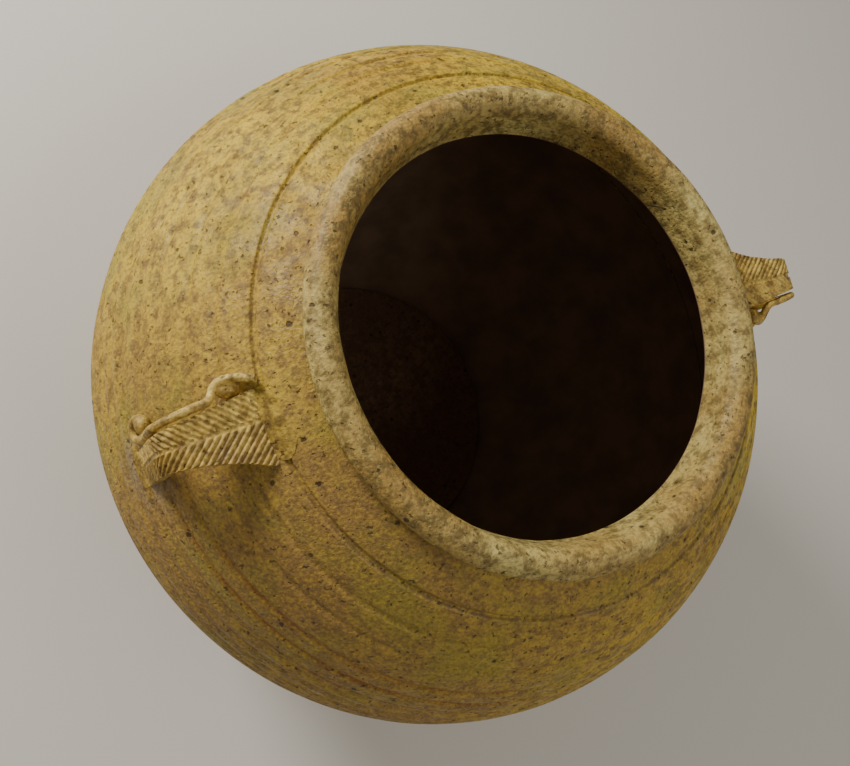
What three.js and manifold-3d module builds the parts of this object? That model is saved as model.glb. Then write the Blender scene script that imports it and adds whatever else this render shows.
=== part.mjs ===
// Two-handled jar: a globular stoneware jar with a rolled lip and a strap lug on each shoulder.
// Millimetres. The jar stands on its base with its axis along +Z, and the origin is the base's centre.
// The strap lugs lie near -X and +X.
import * as THREE from 'three';
import { mergeVertices } from 'three/addons/utils/BufferGeometryUtils.js';
import Module from 'manifold-3d';

const wasm = await Module();
wasm.setup();

// Body
const bellyRadius = 140; // widest ring
const bellyHeight = 122; // base to the widest ring
const shoulderRise = 115; // the shoulder is part of an ellipse that would close this far above the belly
const footRadius = 74;
const wallThickness = 8;
const luteGap = 0.3; // film of slip left in every joint

// Base slab and the lapped seam at the belly
const slabThickness = 10;
const slabEdge = 6; // height of the ledge that the wall stands on
const footBevel = 1.5;
const seamRise = 2.5; // belly to the seam
const lapHeight = 7;

// Throwing ridges above the seam, and the line cut round the shoulder
const ridgeCount = 5;
const ridgePitch = 7;
const ridgeDepth = 0.8;
const cutLineSetback = 15.4; // from the crease under the lip, measured in radius
const cutLineWidth = 2;
const cutLineDepth = 0.7;

// Mouth
const throatRadius = 70.6;
const neckThickness = 5.4;
const neckDepth = 8; // how far the neck reaches down into the shoulder's opening
const neckRound = 2;
const landWidth = 4.3; // flat ledge round the shoulder's opening
const lipThickness = 11.8;
const lipFlare = 7.4; // throat to the middle of the lip
const lipRise = 2.9; // ledge to the middle of the lip

// Strap lugs
const handleAzimuths = { left: 180, right: -4.3 }; // degrees, luted on by eye
const rootSetback = 17.4; // from the crease to where the strap's top meets the shoulder, in radius
const reachInset = 9.5; // the strap's outer face lies this far inside the widest ring
const strapThickness = 4;
const strapBend = 9;
const strapSeat = 1.2; // the strap's ends are pressed this far into the wall
const plainSide = { narrow: 7, root: 15, power: 2 }; // from the strap's spine to its edges
const scrollSide = { narrow: 5.5, root: 10, power: 1 };

// Roll of clay along the strap's edge
const rollDiameter = 3.4;
const curlRadius = 3.7;
const curlUphill = 2; // the curl's middle lies this far uphill of the strap's foot
const curlStart = 9; // degrees
const curlSweep = 270; // degrees
const tailSpread = 3; // how far its upper tail swings out from the strap's root
const tailUphill = 3; // its tip lies this far uphill of the root, measured on the wall
const tailFall = 10; // it leaves the wall this far downhill of the root
const tailLift = 1.5; // and has risen this far off the wall there
const rollMeets = 0.55; // share of the strap's top that is passed where the roll meets its edge

// Pats of clay wiped over the strap's ends: half width, half length, rise
const rootPad = { halfWidth: 13, halfLength: 7, rise: 2.6, uphill: 3.4, sideways: 2 };
const footPad = { halfWidth: 11, halfLength: 7.5, rise: 3, uphill: -3.2, sideways: 2 };

const roundSteps = 60;
const rollSides = 8;
const margin = 20; // how far a cutting solid runs past what it cuts

const quarter = Math.PI / 2;
const rollRadius = rollDiameter / 2;
const lipRadius = lipThickness / 2;
const seamHeight = bellyHeight + seamRise;
const openingRadius = throatRadius + neckThickness + luteGap;
const creaseRadius = openingRadius + landWidth;
const strapReach = bellyRadius - reachInset;
const rootRadius = creaseRadius + rootSetback;

// Halves the interval until it closes on the value where difference changes sign.
function solve(difference, low, high) {
  for (let i = 0; i < 50; i++) {
    const middle = (low + high) / 2;
    if (difference(low) * difference(middle) > 0) {
      low = middle;
    } else {
      high = middle;
    }
  }
  return (low + high) / 2;
}

// A point (radius, height) of the shoulder's outer face at the ellipse angle u, moved in by inset.
function shoulderPoint(u, inset = 0) {
  const normal = new THREE.Vector2(Math.cos(u) / bellyRadius, Math.sin(u) / shoulderRise).normalize();
  return new THREE.Vector2(
    bellyRadius * Math.cos(u) - inset * normal.x,
    bellyHeight + shoulderRise * Math.sin(u) - inset * normal.y,
  );
}

// A point of the lower body's outer face: w is 0 at the belly and a quarter turn at the base.
function lowerPoint(w, inset = 0) {
  const spread = bellyRadius - footRadius;
  const fall = bellyHeight / quarter;
  const normal = new THREE.Vector2(fall, -spread * Math.sin(w)).normalize();
  return new THREE.Vector2(
    footRadius + spread * Math.cos(w) - inset * normal.x,
    bellyHeight - fall * w - inset * normal.y,
  );
}

const shoulderAngle = (height, inset = 0) => solve((u) => shoulderPoint(u, inset).y - height, 0, quarter);
const shoulderAngleAtRadius = (r, inset = 0) => solve((u) => shoulderPoint(u, inset).x - r, 0, quarter);
const lowerAngle = (height, inset = 0) => solve((w) => lowerPoint(w, inset).y - height, 0, quarter);

const seamAngle = shoulderAngle(seamHeight);
const landAngle = shoulderAngleAtRadius(creaseRadius);
const landHeight = shoulderPoint(landAngle).y;
const strapTop = shoulderPoint(shoulderAngleAtRadius(rootRadius)).y;

// Evenly spaced values from first to last, both included.
function spaced(first, last, steps) {
  return Array.from({ length: steps + 1 }, (_, i) => first + ((last - first) * i) / steps);
}

// The shoulder's outline from the seam to the ledge, as ellipse angles, each with the depth cut there.
function shoulderMarks() {
  const marks = [];
  for (let i = 0; i <= 2 * ridgeCount; i++) {
    const height = seamHeight + (i * ridgePitch) / 2;
    marks.push({ u: shoulderAngle(height), cut: i % 2 ? 0 : ridgeDepth });
  }
  const ridgesEnd = shoulderAngle(seamHeight + (ridgeCount + 0.5) * ridgePitch);
  const lineAngle = shoulderAngleAtRadius(creaseRadius + cutLineSetback);
  const lineHalf = uphillOf(lineAngle, cutLineWidth / 2) - lineAngle;
  for (const u of spaced(ridgesEnd, lineAngle - lineHalf, 5)) {
    marks.push({ u, cut: 0 });
  }
  marks.push({ u: lineAngle, cut: cutLineDepth });
  for (const u of spaced(lineAngle + lineHalf, landAngle, 3)) {
    marks.push({ u, cut: 0 });
  }
  return marks;
}

// A solid of revolution about Z. The profile closes on itself or starts and ends on the axis.
function revolve(profile, closed = true) {
  const points = closed ? [...profile, profile[0].clone()] : profile;
  return new THREE.LatheGeometry(points, roundSteps).rotateX(quarter);
}

// The closed solid that a geometry bounds, ready to be cut or joined.
function solidOf(geometry) {
  const bare = geometry.clone();
  bare.deleteAttribute('normal');
  bare.deleteAttribute('uv');
  const merged = mergeVertices(bare, 1e-4);
  return new wasm.Manifold(new wasm.Mesh({
    numProp: 3,
    vertProperties: new Float32Array(merged.attributes.position.array),
    triVerts: new Uint32Array(merged.index.array),
  }));
}

function geometryOf(solid) {
  const mesh = solid.getMesh();
  const geometry = new THREE.BufferGeometry();
  geometry.setAttribute('position', new THREE.BufferAttribute(new Float32Array(mesh.vertProperties), 3));
  geometry.setIndex(new THREE.BufferAttribute(new Uint32Array(mesh.triVerts), 1));
  geometry.computeVertexNormals();
  return geometry;
}

// The jar's outer form as one full solid, its face moved in by inset, turned about Z.
function bodyForm(inset, turn) {
  const profile = [new THREE.Vector2(0, 0), new THREE.Vector2(footRadius - inset, 0)];
  for (const w of spaced(quarter, 0, 8).slice(1, -1)) {
    profile.push(lowerPoint(w, inset));
  }
  profile.push(shoulderPoint(0, inset));
  for (const mark of shoulderMarks()) {
    profile.push(shoulderPoint(mark.u, inset));
  }
  profile.push(new THREE.Vector2(0, profile.at(-1).y));
  return solidOf(revolve(profile, false).rotateZ(turn));
}

const slabRadius = lowerPoint(lowerAngle(slabThickness, wallThickness), wallThickness).x - luteGap;
const lapRadius = shoulderPoint(seamAngle).x - wallThickness / 2;

function baseDisc() {
  return revolve([
    new THREE.Vector2(0, 0),
    new THREE.Vector2(footRadius - footBevel, 0),
    lowerPoint(lowerAngle(footBevel)),
    lowerPoint(lowerAngle(slabEdge)),
    new THREE.Vector2(slabRadius, slabEdge),
    new THREE.Vector2(slabRadius, slabThickness),
    new THREE.Vector2(0, slabThickness),
  ], false);
}

// Stands on the slab's ledge, and laps inside the shoulder wall at the belly.
function lowerWall() {
  const standsAt = slabEdge + luteGap;
  const tongueTop = seamHeight + lapHeight;
  const profile = [new THREE.Vector2(slabRadius + luteGap, standsAt)];
  for (const w of spaced(lowerAngle(standsAt), 0, 8)) {
    profile.push(lowerPoint(w));
  }
  const seam = shoulderPoint(seamAngle, ridgeDepth);
  profile.push(new THREE.Vector2(seam.x, seamHeight - luteGap / 2));
  profile.push(new THREE.Vector2(lapRadius - luteGap / 2, seamHeight - luteGap / 2));
  profile.push(new THREE.Vector2(lapRadius - luteGap / 2, tongueTop));
  profile.push(shoulderPoint(shoulderAngle(tongueTop, wallThickness), wallThickness));
  for (const w of spaced(0, lowerAngle(slabThickness, wallThickness), 7)) {
    profile.push(lowerPoint(w, wallThickness));
  }
  return revolve(profile);
}

// Its skirt drops over the lower wall's tongue, and its top is a flat ledge round the opening.
function shoulderWall() {
  const innerStart = seamHeight + lapHeight + luteGap;
  const profile = shoulderMarks().map((mark) => shoulderPoint(mark.u, mark.cut));
  profile[0].y = seamHeight + luteGap / 2;
  profile.push(new THREE.Vector2(openingRadius, landHeight));
  const openingAngle = shoulderAngleAtRadius(openingRadius, wallThickness);
  for (const u of spaced(openingAngle, shoulderAngle(innerStart, wallThickness), 8)) {
    profile.push(shoulderPoint(u, wallThickness));
  }
  profile.push(new THREE.Vector2(lapRadius + luteGap / 2, innerStart));
  profile.push(new THREE.Vector2(lapRadius + luteGap / 2, seamHeight + luteGap / 2));
  return revolve(profile);
}

// Its neck drops into the shoulder's opening, and the lip's flat underside rests on the ledge.
function mouthRim() {
  const bottom = landHeight - neckDepth;
  const underside = landHeight + luteGap;
  const lipCentre = new THREE.Vector2(throatRadius + lipFlare, landHeight + lipRise);
  const lowestAngle = -Math.asin((lipCentre.y - underside) / lipRadius);
  const profile = [
    new THREE.Vector2(throatRadius + neckThickness, bottom),
    new THREE.Vector2(throatRadius + neckThickness, underside),
  ];
  for (const angle of spaced(lowestAngle, Math.PI, 12)) {
    profile.push(new THREE.Vector2(Math.cos(angle), Math.sin(angle)).multiplyScalar(lipRadius).add(lipCentre));
  }
  for (const angle of spaced(Math.PI, Math.PI + quarter, 3)) {
    profile.push(new THREE.Vector2(
      throatRadius + neckRound + neckRound * Math.cos(angle),
      bottom + neckRound + neckRound * Math.sin(angle),
    ));
  }
  return revolve(profile);
}

// How far the strap's edge lies from its spine at a distance x from the jar's axis.
function edgeAt(side, x) {
  const share = THREE.MathUtils.clamp((strapReach - x) / (strapReach - rootRadius), 0, 1);
  return side.narrow + (side.root - side.narrow) * share ** side.power;
}

// The strap seen from the side and from above, each drawn out into a prism. They meet in the strap.
function strapSolid(grow) {
  const inside = rootRadius - margin;
  const outer = strapReach + grow;
  const inner = strapReach - strapThickness - grow;
  const cornerX = strapReach - strapBend;
  const cornerZ = strapTop - strapBend;
  const width = 2 * (plainSide.root + margin);
  const side = new THREE.Shape();
  side.moveTo(inside, strapTop + grow);
  side.lineTo(cornerX, strapTop + grow);
  side.absarc(cornerX, cornerZ, strapBend + grow, quarter, 0, true);
  side.lineTo(outer, bellyHeight);
  side.lineTo(inner, bellyHeight);
  side.absarc(cornerX, cornerZ, strapBend - strapThickness - grow, 0, quarter, false);
  side.lineTo(inside, strapTop - strapThickness - grow);
  const fromSide = new THREE.ExtrudeGeometry(side, { depth: width, bevelEnabled: false, curveSegments: 6 });
  fromSide.rotateX(quarter).translate(0, width / 2, 0);

  const plan = new THREE.Shape();
  const stations = spaced(inside, rootRadius, 1).concat(spaced(rootRadius, strapReach, 6).slice(1), outer + 1);
  const plainEdge = stations.map((x) => new THREE.Vector2(x, edgeAt(plainSide, x) + grow));
  const scrollEdge = stations.map((x) => new THREE.Vector2(x, -edgeAt(scrollSide, x) - grow));
  plan.setFromPoints([...scrollEdge, ...plainEdge.reverse()]);
  const height = strapTop - bellyHeight + margin;
  const fromAbove = new THREE.ExtrudeGeometry(plan, { depth: height, bevelEnabled: false });
  fromAbove.translate(0, 0, bellyHeight - margin / 2);
  return solidOf(fromSide).intersect(solidOf(fromAbove));
}

// A point standing off the shoulder at the ellipse angle u, a distance along from the handle's plane.
function onShoulder(u, along, standOff) {
  const p = shoulderPoint(u, -standOff);
  const turn = along / p.x;
  return new THREE.Vector3(p.x * Math.cos(turn), p.x * Math.sin(turn), p.y);
}

// The ellipse angle a distance uphill of another, measured on the wall.
function uphillOf(u, distance) {
  return u + distance / Math.hypot(bellyRadius * Math.sin(u), shoulderRise * Math.cos(u));
}

// The roll's route: up on the wall beside the root, over to the strap's edge, down the strap, and round the curl.
function scrollPath() {
  const clear = rollRadius + luteGap;
  const besideStrap = (x) => -edgeAt(scrollSide, x) - clear;
  const tail = -scrollSide.root - clear;
  const rootAngle = shoulderAngleAtRadius(rootRadius);
  const points = [
    onShoulder(uphillOf(rootAngle, tailUphill), tail, clear),
    onShoulder(uphillOf(rootAngle, -tailFall / 2), tail - tailSpread, clear),
    onShoulder(uphillOf(rootAngle, -tailFall), tail - tailSpread, clear + tailLift),
  ];
  const cornerX = strapReach - strapBend;
  const cornerZ = strapTop - strapBend;
  const middle = strapBend - strapThickness / 2;
  const topStart = rootRadius + rollMeets * (cornerX - rootRadius);
  for (const x of spaced(topStart, cornerX, 2)) {
    points.push(new THREE.Vector3(x, besideStrap(x), strapTop - strapThickness / 2));
  }
  for (const angle of spaced(quarter, 0, 3).slice(1)) {
    const x = cornerX + middle * Math.cos(angle);
    points.push(new THREE.Vector3(x, besideStrap(x), cornerZ + middle * Math.sin(angle)));
  }
  const downX = strapReach - strapThickness / 2;
  const footAngle = shoulderAngleAtRadius(downX);
  const start = besideStrap(downX);
  const above = shoulderPoint(uphillOf(footAngle, curlUphill), -clear);
  points.push(new THREE.Vector3(downX, start, (cornerZ + above.y) / 2));
  for (const degrees of spaced(curlStart, curlStart - curlSweep, 9)) {
    const angle = THREE.MathUtils.degToRad(degrees);
    const along = start - curlRadius + curlRadius * Math.cos(angle);
    const uphill = curlRadius * Math.sin(angle) + curlUphill;
    points.push(onShoulder(uphillOf(footAngle, uphill), along, clear));
  }
  return new THREE.CatmullRomCurve3(points, false, 'centripetal');
}

// The roll is drawn along its route as an even tube.
function scrollGeometry(grow) {
  const section = new THREE.Shape();
  section.setFromPoints(spaced(0, 2 * Math.PI, rollSides).slice(0, -1).map(
    (angle) => new THREE.Vector2(Math.cos(angle), Math.sin(angle)).multiplyScalar(rollRadius + grow),
  ));
  return new THREE.ExtrudeGeometry(section, { steps: 44, bevelEnabled: false, extrudePath: scrollPath() });
}

// A low lens of clay centred on the shoulder, its flat way along the wall.
function padSolid(pad, radius) {
  const u = uphillOf(shoulderAngleAtRadius(radius), pad.uphill);
  const lens = new THREE.SphereGeometry(1, 18, 10);
  lens.scale(pad.rise, pad.halfWidth, pad.halfLength);
  const centre = onShoulder(u, pad.sideways, 0);
  const slope = Math.atan2(Math.sin(u) / shoulderRise, Math.cos(u) / bellyRadius);
  lens.rotateY(-slope);
  lens.rotateZ(pad.sideways / shoulderPoint(u).x);
  lens.translate(centre.x, centre.y, centre.z);
  return solidOf(lens);
}

const glaze = new THREE.MeshStandardMaterial({ color: 0x9a8242, roughness: 0.42, metalness: 0 });
const rimGlaze = new THREE.MeshStandardMaterial({ color: 0x958458, roughness: 0.5, metalness: 0 });
const handleGlaze = new THREE.MeshStandardMaterial({ color: 0xa88f52, roughness: 0.5, metalness: 0 });
const wipedClay = new THREE.MeshStandardMaterial({ color: 0x8b7a55, roughness: 0.65, metalness: 0 });
const bareClay = new THREE.MeshStandardMaterial({ color: 0x7a5a3c, roughness: 0.8, metalness: 0 });

function piece(name, geometry, material) {
  const mesh = new THREE.Mesh(geometry, material);
  mesh.name = name;
  return mesh;
}

// One handle, modelled on +X and turned to its azimuth.
// It returns its pieces and the seats that it needs in the wall.
function handle(side) {
  const turn = THREE.MathUtils.degToRad(handleAzimuths[side]);
  const grownStrap = strapSolid(luteGap);
  const grownScroll = solidOf(scrollGeometry(luteGap));
  const wallFace = bodyForm(-luteGap, -turn);
  const strap = strapSolid(0).subtract(bodyForm(strapSeat - luteGap, -turn));
  const seats = grownStrap.subtract(bodyForm(strapSeat, -turn));
  const trimmed = (pad) => pad.subtract(wallFace).subtract(grownStrap).subtract(grownScroll);
  const group = new THREE.Group();
  group.add(
    piece(side + '_handle_strap', geometryOf(strap), handleGlaze.clone()),
    piece(side + '_handle_scroll', scrollGeometry(0), handleGlaze.clone()),
    piece(side + '_handle_root_pad', geometryOf(trimmed(padSolid(rootPad, rootRadius))), wipedClay.clone()),
    piece(side + '_handle_foot_pad', geometryOf(trimmed(padSolid(footPad, strapReach))), wipedClay.clone()),
  );
  group.rotation.z = turn;
  return { group, seats: solidOf(geometryOf(seats).rotateZ(turn)) };
}

const left = handle('left');
const right = handle('right');
const seatedShoulder = solidOf(shoulderWall()).subtract(left.seats).subtract(right.seats);

const jar = new THREE.Group();
jar.name = 'two_handled_jar';
jar.add(
  piece('base_disc', baseDisc(), bareClay),
  piece('lower_wall', lowerWall(), glaze.clone()),
  piece('shoulder_wall', geometryOf(seatedShoulder), glaze.clone()),
  piece('mouth_rim', mouthRim(), rimGlaze),
  left.group,
  right.group,
);

export default jar;
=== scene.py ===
import bpy
from math import atan2, cos, exp, hypot, pi, radians, sin
from mathutils import Matrix, Vector


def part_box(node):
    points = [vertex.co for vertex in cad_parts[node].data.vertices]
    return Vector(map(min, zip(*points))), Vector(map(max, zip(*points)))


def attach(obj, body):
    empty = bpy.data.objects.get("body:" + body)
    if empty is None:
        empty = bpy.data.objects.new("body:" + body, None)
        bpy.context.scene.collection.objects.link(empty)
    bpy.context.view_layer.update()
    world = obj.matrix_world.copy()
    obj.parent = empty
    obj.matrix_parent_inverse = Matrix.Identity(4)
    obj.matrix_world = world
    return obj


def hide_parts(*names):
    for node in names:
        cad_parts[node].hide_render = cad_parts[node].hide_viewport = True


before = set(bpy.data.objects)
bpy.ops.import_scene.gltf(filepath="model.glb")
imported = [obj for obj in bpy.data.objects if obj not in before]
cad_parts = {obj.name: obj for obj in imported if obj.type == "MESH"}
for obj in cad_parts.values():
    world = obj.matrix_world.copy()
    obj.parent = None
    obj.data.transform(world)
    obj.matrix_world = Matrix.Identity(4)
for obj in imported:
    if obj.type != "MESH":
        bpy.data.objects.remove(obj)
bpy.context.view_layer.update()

# Where the frame puts things
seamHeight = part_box("shoulder_wall")[0][2]
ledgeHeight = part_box("shoulder_wall")[1][2]
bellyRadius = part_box("lower_wall")[1][0]
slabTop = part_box("base_disc")[1][2]
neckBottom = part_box("mouth_rim")[0][2]
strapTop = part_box("left_handle_strap")[1][2]
strapReach = -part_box("left_handle_strap")[0][0]

# What the pieces share, in metres and radians
jar = {"bellyHeight": 0.122, "shoulderRise": 0.115, "wall": 0.008}
lap = {"height": 0.007, "gap": 0.0003}
handleTurns = {"left": pi, "right": radians(-4.3)}
quarterTurn = pi / 2

# The plane that a profile starts from, how near points merge, and the angle from which an edge stays sharp
meshWork = {"seed": 0.002, "merge": 1e-5, "copyMerge": 1e-6, "sharp": radians(50)}
halvings = 40


def deselectAll():
    if bpy.context.object and bpy.context.object.mode != "OBJECT":
        bpy.ops.object.mode_set(mode="OBJECT")
    bpy.ops.object.select_all(action="DESELECT")


def selectOnly(obj):
    deselectAll()
    obj.select_set(True)
    bpy.context.view_layer.objects.active = obj


def addModifier(obj, kind, values):
    selectOnly(obj)
    bpy.ops.object.modifier_add(type=kind)
    modifier = obj.modifiers[-1]
    for key, value in values.items():
        setattr(modifier, key, value)
    bpy.ops.object.modifier_apply(modifier=modifier.name)


# Draws the profile point by point in the XZ plane and spins it round the jar's axis.
def spinProfile(name, points, steps):
    deselectAll()
    bpy.ops.mesh.primitive_plane_add(size=meshWork["seed"], location=(0, 0, 0))
    obj = bpy.context.object
    obj.name = name
    bpy.ops.object.mode_set(mode="EDIT")
    bpy.ops.mesh.merge(type="CENTER")
    bpy.ops.transform.translate(value=(points[0][0], 0, points[0][1]))
    for (x0, z0), (x1, z1) in zip(points, points[1:]):
        bpy.ops.mesh.extrude_region_move(TRANSFORM_OT_translate={"value": (x1 - x0, 0, z1 - z0)})
    bpy.ops.mesh.select_all(action="SELECT")
    bpy.ops.mesh.spin(steps=steps, angle=2 * pi, center=(0, 0, 0), axis=(0, 0, 1))
    bpy.ops.mesh.select_all(action="SELECT")
    bpy.ops.mesh.remove_doubles(threshold=meshWork["merge"])
    bpy.ops.mesh.normals_make_consistent(inside=False)
    bpy.ops.object.mode_set(mode="OBJECT")
    bpy.ops.object.shade_smooth_by_angle(angle=meshWork["sharp"])
    return obj


# Presses a piece in here and there, as a hand does, and never outwards.
def pressUneven(obj, form):
    texture = bpy.data.textures.new(obj.name + "Uneven", "CLOUDS")
    texture.noise_scale = form["unevenSize"]
    texture.noise_depth = 2
    addModifier(obj, "DISPLACE", {
        "texture": texture, "texture_coords": "LOCAL", "mid_level": 1.0, "strength": form["unevenDepth"],
    })


# The place between low and high where a measure passes zero, found by halving.
def solve(measure, low, high):
    for _ in range(halvings):
        middle = (low + high) / 2
        if measure(low) * measure(middle) > 0:
            low = middle
        else:
            high = middle
    return (low + high) / 2


def spread(first, last, steps):
    return [first + (last - first) * i / steps for i in range(steps + 1)]


# Camera, set where the photograph was taken from
shot = {
    "tilt": radians(24.26), "swing": radians(25.93), "turn": radians(97),
    "standOff": 0.38395, "aside": 0.00532, "raised": 0.00227, "lens": 37.81, "sensor": 36,
}
tilt = shot["tilt"]
jarUp = Vector((sin(tilt) * cos(shot["swing"]), sin(tilt) * sin(shot["swing"]), cos(tilt)))
across = Vector((0, 0, 1)).cross(jarUp).normalized()
along = jarUp.cross(across)
turn = shot["turn"]
toJar = Matrix((across * cos(turn) - along * sin(turn), across * sin(turn) + along * cos(turn), jarUp))


# A place given as the photograph shows it, from the middle of the belly: right, up and towards the camera.
def fromShot(x, y, z):
    return toJar @ Vector((x, y, z)) + Vector((0, 0, jar["bellyHeight"]))


cameraData = bpy.data.cameras.new("camera")
cameraData.lens = shot["lens"]
cameraData.sensor_width = shot["sensor"]
camera = bpy.data.objects.new("camera", cameraData)
bpy.context.collection.objects.link(camera)
cameraPlace = fromShot(-shot["aside"], -shot["raised"], shot["standOff"])
camera.matrix_world = Matrix.Translation(cameraPlace) @ toJar.to_4x4()
bpy.context.scene.camera = camera
print("camera", tuple(round(v, 3) for v in cameraPlace))


# Shoulder: ridges above the seam, faint turning grooves, and the line cut round below the mouth
shoulderForm = {
    "creaseRadius": 0.0806, "openingRadius": 0.0763,
    "ridgeCount": 5.5, "ridgePitch": 0.007, "ridgeDepth": 0.0008, "ridgeSharpness": 3,
    "grooveHeights": (0.1624, 0.1702, 0.1774, 0.1885, 0.1966), "grooveWidth": 0.0009, "grooveDepth": 0.0006,
    "lineRadius": 0.096, "lineWidth": 0.0006, "lineDepth": 0.0011,
    "outerSteps": 240, "innerSteps": 24, "spinSteps": 300, "unevenSize": 0.09, "unevenDepth": 0.0009,
}


# A point of the shoulder's outline, as radius and height, at a depth below the outer surface.
def shoulderPoint(u, inset):
    rise = jar["shoulderRise"]
    normal = Vector((cos(u) / bellyRadius, sin(u) / rise)).normalized()
    return (bellyRadius * cos(u) - inset * normal.x, jar["bellyHeight"] + rise * sin(u) - inset * normal.y)


def shoulderAngleAtHeight(height, inset):
    return solve(lambda u: shoulderPoint(u, inset)[1] - height, 0, quarterTurn)


def shoulderAngleAtRadius(radius, inset):
    return solve(lambda u: shoulderPoint(u, inset)[0] - radius, 0, quarterTurn)


seamAngle = shoulderAngleAtHeight(seamHeight, 0)


def bell(distance, width):
    return exp(-(distance / width) ** 2)


def shoulderDepth(radius, height):
    form = shoulderForm
    depth = 0
    above = height - seamHeight
    if above < form["ridgeCount"] * form["ridgePitch"]:
        depth += form["ridgeDepth"] * abs(cos(pi * above / form["ridgePitch"])) ** form["ridgeSharpness"]
    for level in form["grooveHeights"]:
        depth += form["grooveDepth"] * bell(height - level, form["grooveWidth"])
    return depth + form["lineDepth"] * bell(radius - form["lineRadius"], form["lineWidth"])


def makeShoulder():
    form = shoulderForm
    wall = jar["wall"]
    outer = []
    for u in spread(seamAngle, shoulderAngleAtRadius(form["creaseRadius"], 0), form["outerSteps"]):
        outer.append(shoulderPoint(u, shoulderDepth(*shoulderPoint(u, 0))))
    lapTop = seamHeight + lap["height"] + lap["gap"]
    lapRadius = shoulderPoint(seamAngle, wall / 2)[0] + lap["gap"] / 2
    opening = shoulderAngleAtRadius(form["openingRadius"], wall)
    innerFoot = shoulderAngleAtHeight(lapTop, wall)
    inner = [shoulderPoint(u, wall) for u in spread(opening, innerFoot, form["innerSteps"])]
    skirt = [(lapRadius, lapTop), (lapRadius, seamHeight)]
    points = outer + [(form["openingRadius"], ledgeHeight)] + inner + skirt + [outer[0]]
    shoulder = spinProfile("shoulder", points, form["spinSteps"])
    pressUneven(shoulder, form)
    return shoulder


# Lower body: faint turning marks outside, a seat for the slab, and a tongue that laps behind the shoulder
lowerForm = {
    "footRadius": 0.074, "slabEdge": 0.006, "marks": 7, "markDepth": 0.0003,
    "outerSteps": 70, "innerSteps": 24, "spinSteps": 240, "unevenSize": 0.09, "unevenDepth": 0.0009,
}


def lowerPoint(w, inset):
    flare = bellyRadius - lowerForm["footRadius"]
    fall = jar["bellyHeight"] / quarterTurn
    normal = Vector((fall, -flare * sin(w))).normalized()
    radius = lowerForm["footRadius"] + flare * cos(w) - inset * normal.x
    return (radius, jar["bellyHeight"] - fall * w - inset * normal.y)


def lowerAngleAtHeight(height, inset):
    return solve(lambda w: lowerPoint(w, inset)[1] - height, 0, quarterTurn)


def makeLowerBody():
    form = lowerForm
    wall = jar["wall"]
    waves = 2 * form["marks"]
    outer = []
    for w in spread(lowerAngleAtHeight(form["slabEdge"], 0), 0, form["outerSteps"]):
        outer.append(lowerPoint(w, form["markDepth"] * abs(sin(waves * w))))
    inner = [lowerPoint(w, wall) for w in spread(0, lowerAngleAtHeight(slabTop, wall), form["innerSteps"])]
    lapTop = seamHeight + lap["height"]
    lapRadius = shoulderPoint(seamAngle, wall / 2)[0] - lap["gap"] / 2
    tongue = [
        shoulderPoint(seamAngle, shoulderForm["ridgeDepth"]), (lapRadius, seamHeight), (lapRadius, lapTop),
        shoulderPoint(shoulderAngleAtHeight(lapTop, wall), wall),
    ]
    points = outer + tongue + inner + [(inner[-1][0], form["slabEdge"]), outer[0]]
    body = spinProfile("lowerBody", points, form["spinSteps"])
    pressUneven(body, form)
    return body


# Rim: a short neck, rounded at its foot, with a thick rolled lip
rimForm = {
    "throatRadius": 0.0706, "neckThickness": 0.0054, "neckRound": 0.002, "neckRoundOut": 0.0015,
    "lipRadius": 0.0059, "lipCentre": 0.078, "lipRise": 0.0029, "lipStart": radians(-26),
    "lipSteps": 44, "neckSteps": 6, "spinSteps": 300, "unevenSize": 0.03, "unevenDepth": 0.0009,
    "darkBelowLedge": 0.002,
}


def makeRim():
    form = rimForm
    lip = Vector((form["lipCentre"], ledgeHeight + form["lipRise"]))
    neck = form["throatRadius"] + form["neckThickness"]
    points = [(neck, neckBottom), (neck, ledgeHeight)]
    for angle in spread(form["lipStart"], pi, form["lipSteps"]):
        points.append((lip.x + form["lipRadius"] * cos(angle), lip.y + form["lipRadius"] * sin(angle)))
    for angle in spread(pi, 1.5 * pi, form["neckSteps"]):
        points.append((
            form["throatRadius"] + form["neckRoundOut"] + form["neckRound"] * cos(angle),
            neckBottom + form["neckRound"] + form["neckRound"] * sin(angle),
        ))
    rim = spinProfile("rim", points + [points[0]], form["spinSteps"])
    pressUneven(rim, form)
    return rim


# A copy of a small CAD piece, made one soft skin, with its corners rubbed round.
def clayCopy(node, name, form, lumpTurn=0):
    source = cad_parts[node]
    deselectAll()
    obj = source.copy()
    obj.data = source.data.copy()
    obj.name = name
    bpy.context.collection.objects.link(obj)
    obj.data.materials.clear()
    selectOnly(obj)
    obj.parent = None
    bpy.ops.object.mode_set(mode="EDIT")
    bpy.ops.mesh.select_all(action="SELECT")
    bpy.ops.mesh.remove_doubles(threshold=meshWork["copyMerge"])
    for lump in form.get("lumps", ()):
        bpy.ops.mesh.primitive_uv_sphere_add(
            segments=24, ring_count=16, radius=1, scale=lump["halfSizes"],
            location=Matrix.Rotation(lumpTurn, 3, "Z") @ lump["place"], rotation=(0, 0, lumpTurn),
        )
    bpy.ops.object.mode_set(mode="OBJECT")
    addModifier(obj, "REMESH", {"mode": "VOXEL", "voxel_size": form["voxel"]})
    addModifier(obj, "SMOOTH", {"factor": 0.5, "iterations": form["rubs"]})
    selectOnly(obj)
    bpy.ops.object.shade_smooth()
    return obj


# Strap: the leaf pattern is a groove drawn by how far each point lies along the strap and from its spine
strapForm = {
    "leafPitch": 0.0026, "leafSlant": 1.05, "leafWidth": 0.55, "leafDepth": 0.0007,
    "spine": 0.0006, "spineShare": 0.7, "leastFacing": 0.6, "bend": 0.009, "root": 0.098,
    "voxel": 0.0003, "rubs": 6, "unevenSize": 0.006, "unevenDepth": 0.0006,
}


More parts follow.
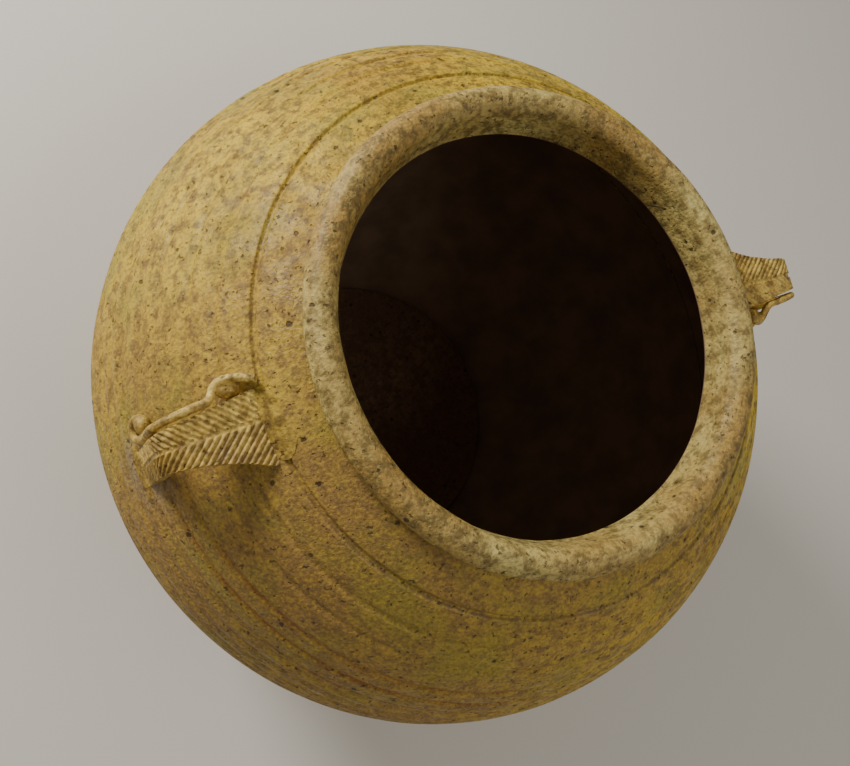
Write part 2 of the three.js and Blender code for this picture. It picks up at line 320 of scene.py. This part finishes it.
def alongStrap(x, z):
    bend = strapForm["bend"]
    cornerX = strapReach - bend
    cornerZ = strapTop - bend
    if x <= cornerX:
        return x - strapForm["root"]
    top = cornerX - strapForm["root"]
    if z >= cornerZ:
        return top + bend * atan2(x - cornerX, z - cornerZ)
    return top + bend * pi / 2 + cornerZ - z


# How deep the leaf is cut at a point, from 0 to 1, on a handle that is turned to point along +X.
def leafWeight(point, normal, turned):
    place = turned @ point
    facing = turned @ normal
    if max(facing.z, facing.x) < strapForm["leastFacing"]:
        return 0
    side = abs(place.y)
    if side < strapForm["spine"]:
        return strapForm["spineShare"]
    measure = alongStrap(place.x, place.z) - side * strapForm["leafSlant"]
    phase = measure / strapForm["leafPitch"] % 1
    return max(0, 1 - abs(phase - 0.5) * 2 / strapForm["leafWidth"])


def makeStrap(side):
    strap = clayCopy(side + "_handle_strap", side + "Strap", strapForm)
    turned = Matrix.Rotation(-handleTurns[side], 3, "Z")
    group = strap.vertex_groups.new(name="leaf")
    for vertex in strap.data.vertices:
        weight = leafWeight(vertex.co, vertex.normal, turned)
        if weight > 0:
            group.add([vertex.index], weight, "REPLACE")
    addModifier(strap, "DISPLACE", {
        "vertex_group": "leaf", "mid_level": 0.0, "strength": -strapForm["leafDepth"],
    })
    pressUneven(strap, strapForm)
    return strap


# Roll beside the strap, with two lumps pressed on: a knob at its curl, and a web beside the strap's root.
# Both are given for a handle that points along +X
scrollForm = {
    "lumps": (
        {"place": Vector((0.1275, -0.0125, 0.172)), "halfSizes": (0.0030, 0.0036, 0.0040)},
        {"place": Vector((0.1035, -0.0124, 0.1993)), "halfSizes": (0.0046, 0.0032, 0.0024)},
    ),
    "voxel": 0.00032, "rubs": 5, "unevenSize": 0.004, "unevenDepth": 0.0005,
}


def makeScroll(side):
    scroll = clayCopy(side + "_handle_scroll", side + "Scroll", scrollForm, handleTurns[side])
    pressUneven(scroll, scrollForm)
    return scroll


# A pad is wiped flat: it is squashed towards the wall, square to the wall's slope, and sunk in a little
padForm = {
    "keep": 0.34, "sink": 0.0011, "footDepth": 0.001,
    "voxel": 0.0004, "rubs": 8, "unevenSize": 0.005, "unevenDepth": 0.0016,
}


def wipeFlat(obj, node):
    low, high = (Vector(corner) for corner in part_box(node))
    middle = (low + high) / 2
    outward = Vector((
        middle.x / bellyRadius ** 2, middle.y / bellyRadius ** 2,
        (middle.z - jar["bellyHeight"]) / jar["shoulderRise"] ** 2,
    )).normalized()
    squash = Matrix.Scale(padForm["keep"], 4, outward)
    foot = middle - outward * padForm["footDepth"]
    sunk = foot - outward * padForm["sink"]
    obj.data.transform(Matrix.Translation(sunk) @ squash @ Matrix.Translation(-foot))


def makePad(side, end):
    node = side + "_handle_" + end + "_pad"
    pad = clayCopy(node, side + end.capitalize() + "Pad", padForm)
    pressUneven(pad, padForm)
    wipeFlat(pad, node)
    return pad


# Materials: colours are given as they look on a screen, from 0 to 255
def shade(red, green, blue):
    return tuple(((v / 255 + 0.055) / 1.055) ** 2.4 for v in (red, green, blue)) + (1,)


glazes = {
    "body_glaze": {
        "light": shade(214, 180, 40), "dark": shade(172, 134, 40), "mottle": shade(92, 68, 24),
        "speck": shade(46, 30, 14), "rough": (0.42, 0.7), "grain": 0.0011,
    },
    "rim_glaze": {
        "light": shade(208, 192, 116), "dark": shade(166, 132, 66), "mottle": shade(104, 84, 44),
        "speck": shade(52, 36, 18), "rough": (0.42, 0.68), "grain": 0.0011,
    },
    "handle_glaze": {
        "light": shade(226, 198, 106), "dark": shade(178, 142, 62), "mottle": shade(110, 82, 36),
        "speck": shade(48, 32, 16), "rough": (0.42, 0.68), "grain": 0.0008,
    },
    "wiped_clay": {
        "light": shade(190, 158, 60), "dark": shade(150, 118, 50), "mottle": shade(92, 68, 30),
        "speck": shade(44, 32, 18), "rough": (0.55, 0.8), "grain": 0.0011,
    },
    "bare_clay": {
        "light": shade(140, 108, 78), "dark": shade(112, 82, 58), "mottle": shade(96, 70, 48),
        "speck": shade(50, 36, 26), "rough": (0.75, 0.92), "grain": 0.0007,
    },
}

# Marks that every glaze has: the scale of the noise behind each, the values between which it comes in, and
# how strong it is at most. The turned ones run round the jar: around is how fine they are that way, and
# turnedScale is how fine they are across it.
turnedScale = 230.0
marks = {
    "streak": {
        "around": 2.2, "scale": 1.0, "detail": 4.0, "roughness": 0.5,
        "start": 0.42, "full": 0.66, "most": 0.6,
    },
    "dash": {
        "around": 15, "scale": 1.3, "detail": 6.0, "roughness": 0.65,
        "start": 0.5, "full": 0.62, "most": 0.6,
    },
    "broad": {"scale": 14.0, "start": 0.38, "full": 0.62},
    "blotch": {"scale": 260.0, "detail": 6.0, "start": 0.46, "full": 0.62},
    "fine": {"scale": 850.0, "detail": 4.0},
    "fineDark": {"start": 0.5, "full": 0.68, "most": 0.45},
    "fineLight": {"start": 0.46, "full": 0.32, "most": 0.3},
    "speck": {"scale": 560.0, "detail": 2.0, "start": 0.645, "full": 0.71, "most": 0.8},
    "pit": {"scale": 170.0, "start": 0.36, "full": 0.28, "ragged": 0.35, "chanceAbove": 0.8},
    "rough": {"scale": 120.0, "start": 0.35, "full": 0.65},
}
blotchShare = 0.74
speckShare = 0.85
gloss = 0.27
relief = {"fine": 0.5, "streak": 0.5, "speck": 0.4, "strength": 0.8}

# Marks of the body alone. The side that facing points to is painted darker and browner, as painted shade,
# and rust lies in the lower grooves there. A painted shadow lies round the foot of each handle.
bodyMarks = {
    "facing": radians(220), "window": {"start": 0.8, "full": 0.95},
    # Painted shade: the side that facing points to is mixed towards this darker, browner colour
    "paintedShadeSide": {"colour": shade(146, 114, 72), "start": -0.3, "full": 0.95, "most": 0.62},
    "green": {
        "colour": shade(146, 134, 50), "scale": 38.0, "detail": 4.0,
        "start": 0.48, "full": 0.66, "most": 0.5,
    },
    "rust": {"colour": shade(132, 78, 30), "grooves": 3, "start": 0.0019, "full": 0.0004},
    "rustBreaks": {"start": 0.36, "full": 0.6, "least": 0.15, "most": 0.8},
    # Painted shadow: a grey patch round the foot of each handle, ragged at its edge
    "paintedFootShadow": {
        "colour": shade(128, 116, 108), "radius": 0.131, "height": 0.163, "ragged": 0.006,
        "start": 0.019, "full": 0.006, "most": 0.6,
    },
    "cutLine": {"start": 0.0008, "full": 0.0002, "most": 0.4, "above": 0.2},
}


class Sheet:
    def __init__(self, name):
        self.material = bpy.data.materials.new(name)
        self.material.use_nodes = True
        self.nodes = self.material.node_tree.nodes
        self.links = self.material.node_tree.links
        self.shader = self.nodes["Principled BSDF"]

    def add(self, kind, inputs=(), **settings):
        node = self.nodes.new(kind)
        for key, value in settings.items():
            setattr(node, key, value)
        for index, value in dict(inputs).items():
            if isinstance(value, bpy.types.NodeSocket):
                self.links.new(value, node.inputs[index])
            else:
                node.inputs[index].default_value = value
        return node

    def maths(self, operation, a, b=0.0):
        return self.add("ShaderNodeMath", {0: a, 1: b}, operation=operation).outputs[0]

    def vector(self, operation, inputs, output=0):
        node = self.add("ShaderNodeVectorMath", dict(enumerate(inputs)), operation=operation)
        return node.outputs[output]

    def ramp(self, value, mark):
        limits = {1: mark["start"], 2: mark["full"], 3: mark.get("least", 0.0), 4: mark.get("most", 1.0)}
        return self.add("ShaderNodeMapRange", {0: value, **limits}).outputs[0]

    def noise(self, vector, mark):
        inputs = {"Vector": vector, "Scale": mark["scale"], "Detail": mark.get("detail", 3.0)}
        return self.add("ShaderNodeTexNoise", inputs).outputs[0]

    def mix(self, factor, a, b):
        return self.add("ShaderNodeMix", {0: factor, 6: a, 7: b}, data_type="RGBA").outputs[2]


# Where a shaded point lies on the jar: its place, height and radius, and the way out from the axis.
def findSpot(sheet):
    place = sheet.add("ShaderNodeTexCoord").outputs["Object"]
    height = sheet.add("ShaderNodeSeparateXYZ", {0: place}).outputs[2]
    level = sheet.vector("MULTIPLY", (place, (1, 1, 0)))
    radius = sheet.vector("LENGTH", (level,), "Value")
    outward = sheet.vector("NORMALIZE", (level,))
    lift = sheet.add("ShaderNodeCombineXYZ", {2: sheet.maths("MULTIPLY", height, turnedScale)}).outputs[0]
    return {"place": place, "height": height, "radius": radius, "outward": outward, "lift": lift}


# Noise that runs round the jar, because the clay was turned.
def turnedNoise(sheet, spot, mark):
    ring = sheet.vector("MULTIPLY", (spot["outward"], (mark["around"], mark["around"], 0)))
    ring = sheet.vector("ADD", (ring, spot["lift"]))
    return sheet.add("ShaderNodeTexNoise", {
        "Vector": ring, "W": sheet.maths("MULTIPLY", spot["radius"], turnedScale), "Scale": mark["scale"],
        "Detail": mark["detail"], "Roughness": mark["roughness"],
    }, noise_dimensions="4D").outputs[0]


def layBodyMarks(sheet, spot, colour, dash, blotch):
    facing = Vector((cos(bodyMarks["facing"]), sin(bodyMarks["facing"]), 0))
    towards = sheet.vector("DOT_PRODUCT", (spot["outward"], facing), "Value")
    window = sheet.ramp(towards, bodyMarks["window"])
    paintedShadeSide, green = bodyMarks["paintedShadeSide"], bodyMarks["green"]
    # Painted shade on the side that facing points to
    colour = sheet.mix(sheet.ramp(towards, paintedShadeSide), colour, paintedShadeSide["colour"])
    colour = sheet.mix(sheet.ramp(sheet.noise(spot["place"], green), green), colour, green["colour"])

    rust = bodyMarks["rust"]
    for level in shoulderForm["grooveHeights"][:rust["grooves"]]:
        off = sheet.maths("ABSOLUTE", sheet.maths("SUBTRACT", spot["height"], level))
        line = sheet.maths("MULTIPLY", sheet.ramp(off, rust), window)
        line = sheet.maths("MULTIPLY", line, sheet.ramp(dash, bodyMarks["rustBreaks"]))
        colour = sheet.mix(line, colour, rust["colour"])

    # Painted shadow round the foot of each handle
    paintedFootShadow = bodyMarks["paintedFootShadow"]
    for angle in handleTurns.values():
        foot = Vector((cos(angle), sin(angle), 0)) * paintedFootShadow["radius"] + Vector((0, 0, paintedFootShadow["height"]))
        away = sheet.vector("DISTANCE", (spot["place"], foot), "Value")
        away = sheet.maths("ADD", away, sheet.maths("MULTIPLY", blotch, paintedFootShadow["ragged"]))
        colour = sheet.mix(sheet.ramp(away, paintedFootShadow), colour, paintedFootShadow["colour"])

    cutLine = bodyMarks["cutLine"]
    lineOff = sheet.maths("ABSOLUTE", sheet.maths("SUBTRACT", spot["radius"], shoulderForm["lineRadius"]))
    onTop = sheet.maths("GREATER_THAN", spot["height"], cutLine["above"])
    cut = sheet.maths("MULTIPLY", sheet.ramp(lineOff, cutLine), onTop)
    return sheet.mix(cut, colour, glazes["body_glaze"]["speck"])


# Iron specks: many fine ones, and a few pits with ragged edges.
def findSpecks(sheet, place, fine):
    mark = marks["pit"]
    cells = sheet.add("ShaderNodeTexVoronoi", {"Vector": place, "Scale": mark["scale"]})
    chance = sheet.add("ShaderNodeSeparateColor", {0: cells.outputs["Color"]}).outputs[0]
    chosen = sheet.maths("GREATER_THAN", chance, mark["chanceAbove"])
    ragged = sheet.maths("ADD", cells.outputs["Distance"], sheet.maths("MULTIPLY", fine, mark["ragged"]))
    pit = sheet.maths("MULTIPLY", sheet.ramp(ragged, mark), chosen)
    speck = sheet.ramp(sheet.noise(place, marks["speck"]), marks["speck"])
    return sheet.maths("MAXIMUM", speck, pit)


def makeGlaze(slot):
    values = glazes[slot]
    sheet = Sheet(slot)
    spot = findSpot(sheet)
    place = spot["place"]
    streak = turnedNoise(sheet, spot, marks["streak"])
    dash = turnedNoise(sheet, spot, marks["dash"])
    blotch = sheet.ramp(sheet.noise(place, marks["blotch"]), marks["blotch"])
    fine = sheet.noise(place, marks["fine"])

    broad = sheet.ramp(sheet.noise(place, marks["broad"]), marks["broad"])
    colour = sheet.mix(broad, values["light"], values["dark"])
    colour = sheet.mix(sheet.ramp(streak, marks["streak"]), colour, values["dark"])
    colour = sheet.mix(sheet.ramp(dash, marks["dash"]), colour, values["mottle"])
    colour = sheet.mix(sheet.maths("MULTIPLY", blotch, blotchShare), colour, values["mottle"])
    if slot == "body_glaze":
        colour = layBodyMarks(sheet, spot, colour, dash, blotch)
    colour = sheet.mix(sheet.ramp(fine, marks["fineDark"]), colour, values["mottle"])
    colour = sheet.mix(sheet.ramp(fine, marks["fineLight"]), colour, values["light"])
    speck = findSpecks(sheet, place, fine)
    colour = sheet.mix(sheet.maths("MULTIPLY", speck, speckShare), colour, values["speck"])
    sheet.links.new(colour, sheet.shader.inputs["Base Color"])

    sheet.shader.inputs["Specular IOR Level"].default_value = gloss
    least, most = values["rough"]
    rough = sheet.ramp(sheet.noise(place, marks["rough"]), {**marks["rough"], "least": least, "most": most})
    sheet.links.new(rough, sheet.shader.inputs["Roughness"])

    grains = sheet.maths("MULTIPLY", fine, relief["fine"])
    turned = sheet.maths("MULTIPLY", streak, relief["streak"])
    holes = sheet.maths("MULTIPLY", speck, relief["speck"])
    raised = sheet.maths("SUBTRACT", sheet.maths("ADD", grains, turned), holes)
    bump = sheet.add("ShaderNodeBump", {
        "Strength": relief["strength"], "Distance": values["grain"], "Height": raised,
    })
    sheet.links.new(bump.outputs[0], sheet.shader.inputs["Normal"])
    return sheet.material


# The unglazed inside of the jar. Faces count as inside where they look at the axis, lie below a height, and
# lie within a share of the outer form, taken squared
insideLook = {
    "dark": shade(120, 98, 78), "light": shade(146, 118, 92), "rough": 0.9, "specular": 0.1,
    "scale": 60.0, "start": 0.35, "full": 0.65, "shareSquared": 0.94,
}


def makeInside():
    sheet = Sheet("inside")
    place = sheet.add("ShaderNodeTexCoord").outputs["Object"]
    share = sheet.ramp(sheet.noise(place, insideLook), insideLook)
    colour = sheet.mix(share, insideLook["dark"], insideLook["light"])
    sheet.links.new(colour, sheet.shader.inputs["Base Color"])
    sheet.shader.inputs["Roughness"].default_value = insideLook["rough"]
    sheet.shader.inputs["Specular IOR Level"].default_value = insideLook["specular"]
    return sheet.material


materials = {slot: makeGlaze(slot) for slot in glazes}
inside = makeInside()
print("materials", len(materials) + 1)


def darkenInside(obj, below):
    obj.data.materials.append(inside)
    for face in obj.data.polygons:
        inward = face.normal.x * face.center.x + face.normal.y * face.center.y < 0
        radius = hypot(face.center.x, face.center.y)
        above = max(0, face.center.z - jar["bellyHeight"])
        share = (radius / bellyRadius) ** 2 + (above / jar["shoulderRise"]) ** 2
        if inward and face.center.z < below and share < insideLook["shareSquared"]:
            face.material_index = 1


def dress(obj, node, slot):
    obj.data.materials.append(materials[slot])
    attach(obj, "root")
    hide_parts(node)
    print(obj.name, len(obj.data.polygons))


shoulder = makeShoulder()
dress(shoulder, "shoulder_wall", "body_glaze")
darkenInside(shoulder, ledgeHeight)

lowerBody = makeLowerBody()
dress(lowerBody, "lower_wall", "body_glaze")
darkenInside(lowerBody, seamHeight + 2 * lap["height"])

rim = makeRim()
dress(rim, "mouth_rim", "rim_glaze")
darkenInside(rim, ledgeHeight - rimForm["darkBelowLedge"])

for side in handleTurns:
    dress(makeStrap(side), side + "_handle_strap", "handle_glaze")
    dress(makeScroll(side), side + "_handle_scroll", "handle_glaze")
    for end in ("root", "foot"):
        dress(makePad(side, end), side + "_handle_" + end + "_pad", "wiped_clay")

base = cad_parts["base_disc"]
base.data.materials.clear()
base.data.materials.append(materials["bare_clay"])

# Floor and light, with the lights placed to the camera's left and right
studio = {
    "floorSize": 30, "floorColour": shade(212, 205, 192), "floorRough": 0.8,
    "key": {"place": fromShot(-0.45, 0.66, 0.5), "size": 0.32, "power": 10.5},
    "fill": {"place": fromShot(0.8, -0.2, 0.7), "size": 0.9, "power": 3.4},
    "world": {"Strength": 0.27, "Color": (1, 0.97, 0.92, 1)},
}
bpy.ops.mesh.primitive_plane_add(size=studio["floorSize"], location=(0, 0, 0))
floor = bpy.context.object
floor.name = "floor"
floorSheet = Sheet("floorPaper")
floorSheet.shader.inputs["Base Color"].default_value = studio["floorColour"]
floorSheet.shader.inputs["Roughness"].default_value = studio["floorRough"]
floor.data.materials.append(floorSheet.material)


def addLight(name):
    values = studio[name]
    light = bpy.data.lights.new(name, "AREA")
    light.shape = "DISK"
    light.size = values["size"]
    light.energy = values["power"]
    lamp = bpy.data.objects.new(name, light)
    bpy.context.collection.objects.link(lamp)
    lamp.location = values["place"]
    aim = Vector((0, 0, jar["bellyHeight"])) - values["place"]
    lamp.rotation_euler = aim.to_track_quat("-Z", "Y").to_euler()


addLight("key")
addLight("fill")
world = bpy.data.worlds.new("studio")
world.use_nodes = True
for socket, value in studio["world"].items():
    world.node_tree.nodes["Background"].inputs[socket].default_value = value
bpy.context.scene.world = world
print("floor, two lights and world")
